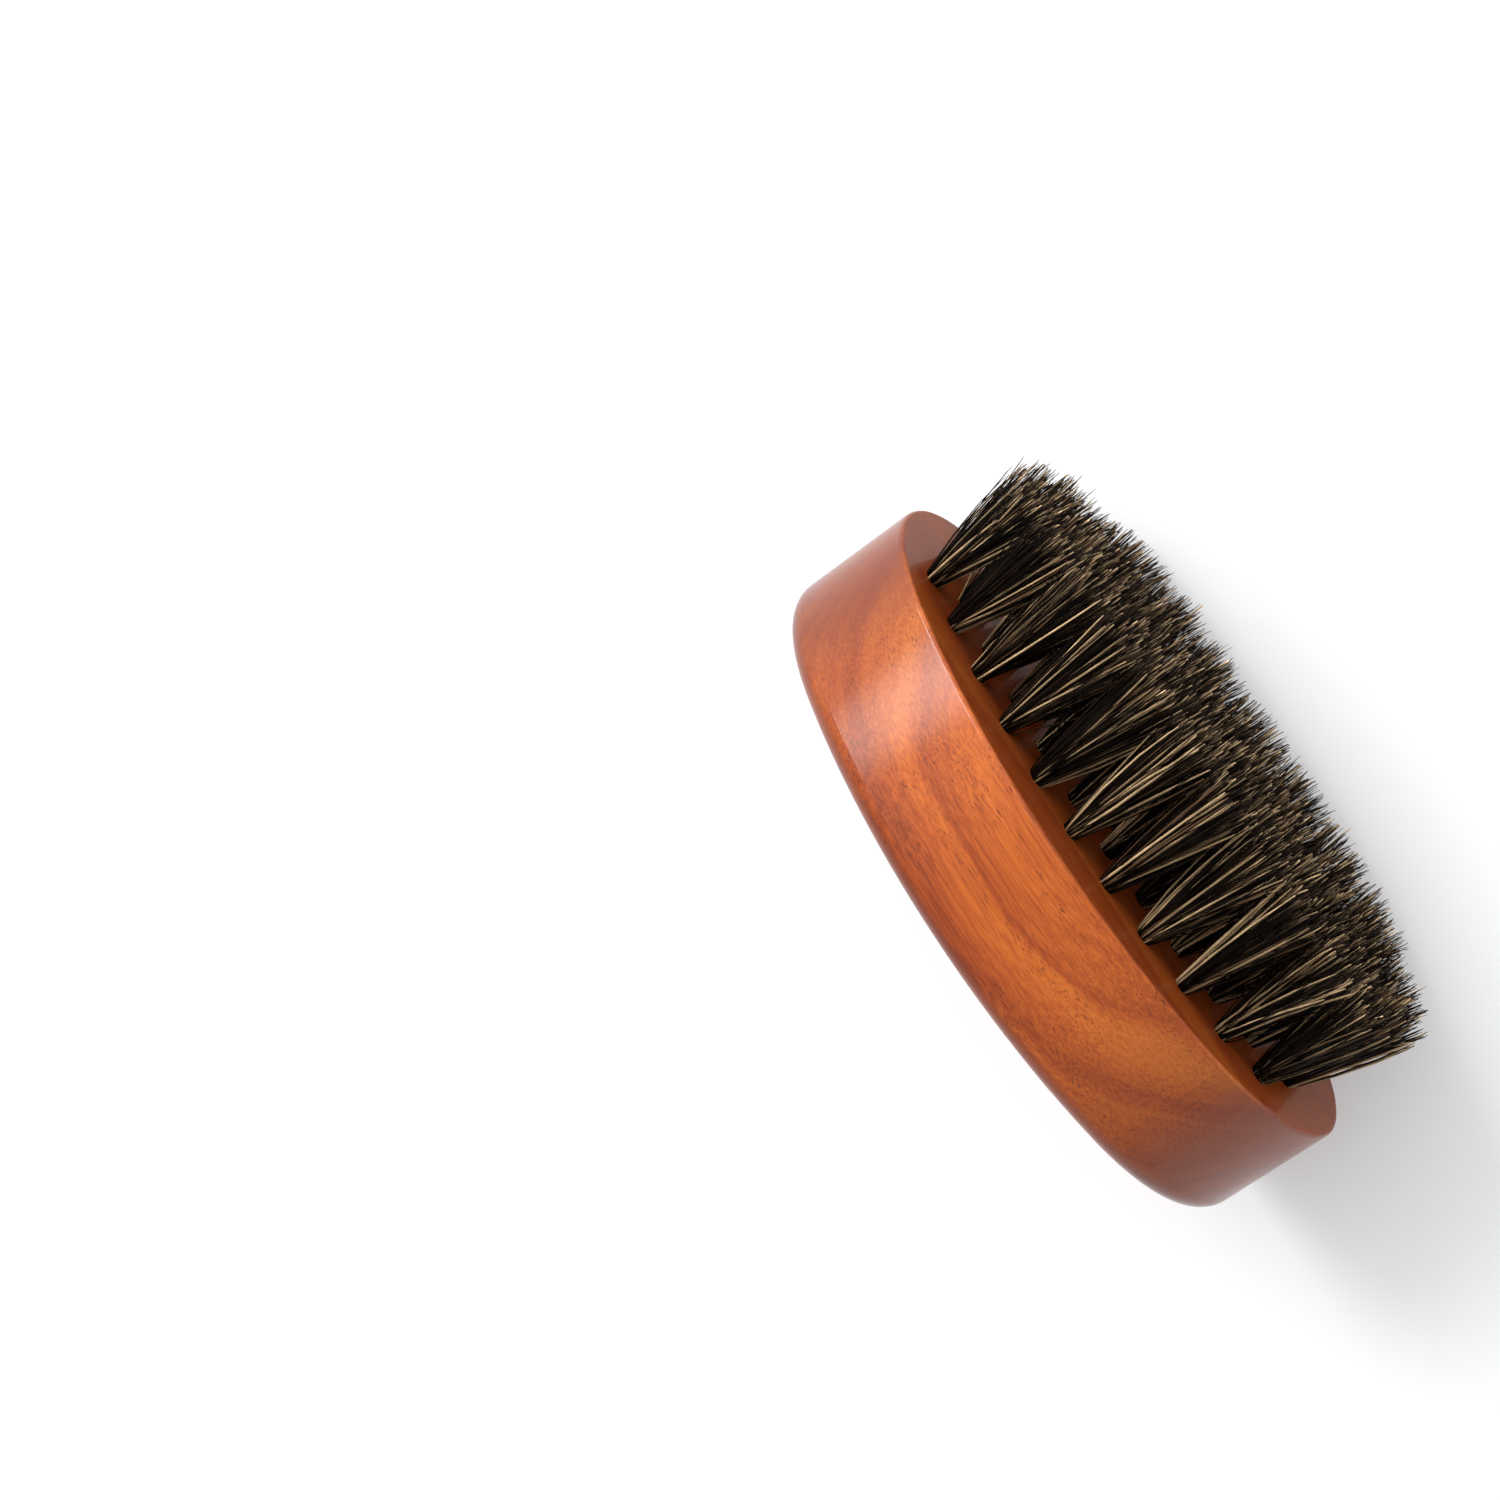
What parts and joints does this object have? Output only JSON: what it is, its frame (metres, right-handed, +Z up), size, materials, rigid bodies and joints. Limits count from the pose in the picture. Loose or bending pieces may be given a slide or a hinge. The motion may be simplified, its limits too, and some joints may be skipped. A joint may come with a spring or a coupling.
{
  "type": "beard brush",
  "caption": "Kidney-shaped palm brush for beards: a varnished hardwood block filled with rows of boar-bristle tufts that fan out to a crowned, trimmed tip field.",
  "frame": {"origin": "centre of the bottom of the overall box, on the surface that the two lobes of the lower long edge stand on", "axes": "X along the brush, Y from the back face towards the bristle tips, Z up from the waisted long edge to the crowned long edge"},
  "size_m": [0.09, 0.0374, 0.052],
  "materials": {
    "varnished_wood": "gloss",
    "boar_bristle": "satin",
    "anchor_wire": "satin"
  },
  "bodies": {
    "root": {"handle_body": "varnished_wood", "tuft_anchors": "anchor_wire", "tuft_row1_01": "boar_bristle", "tuft_row1_02": "boar_bristle", "tuft_row1_03": "boar_bristle", "tuft_row1_04": "boar_bristle", "tuft_row1_05": "boar_bristle", "tuft_row1_06": "boar_bristle", "tuft_row1_07": "boar_bristle", "tuft_row1_08": "boar_bristle", "tuft_row1_09": "boar_bristle", "tuft_row1_10": "boar_bristle", "tuft_row1_11": "boar_bristle", "tuft_row2_01": "boar_bristle", "tuft_row2_02": "boar_bristle", "tuft_row2_03": "boar_bristle", "tuft_row2_04": "boar_bristle", "tuft_row2_05": "boar_bristle", "tuft_row2_06": "boar_bristle", "tuft_row2_07": "boar_bristle", "tuft_row2_08": "boar_bristle", "tuft_row2_09": "boar_bristle", "tuft_row2_10": "boar_bristle", "tuft_row2_11": "boar_bristle", "tuft_row2_12": "boar_bristle", "tuft_row3_01": "boar_bristle", "tuft_row3_02": "boar_bristle", "tuft_row3_03": "boar_bristle", "tuft_row3_04": "boar_bristle", "tuft_row3_05": "boar_bristle", "tuft_row3_06": "boar_bristle", "tuft_row3_07": "boar_bristle", "tuft_row3_08": "boar_bristle", "tuft_row3_09": "boar_bristle", "tuft_row3_10": "boar_bristle", "tuft_row3_11": "boar_bristle", "tuft_row4_01": "boar_bristle", "tuft_row4_02": "boar_bristle", "tuft_row4_03": "boar_bristle", "tuft_row4_04": "boar_bristle", "tuft_row4_05": "boar_bristle", "tuft_row4_06": "boar_bristle", "tuft_row4_07": "boar_bristle", "tuft_row4_08": "boar_bristle", "tuft_row4_09": "boar_bristle", "tuft_row4_10": "boar_bristle", "tuft_row5_01": "boar_bristle", "tuft_row5_02": "boar_bristle", "tuft_row5_03": "boar_bristle", "tuft_row5_04": "boar_bristle", "tuft_row5_05": "boar_bristle", "tuft_row5_06": "boar_bristle", "tuft_row5_07": "boar_bristle"}
  },
  "joints": []
}
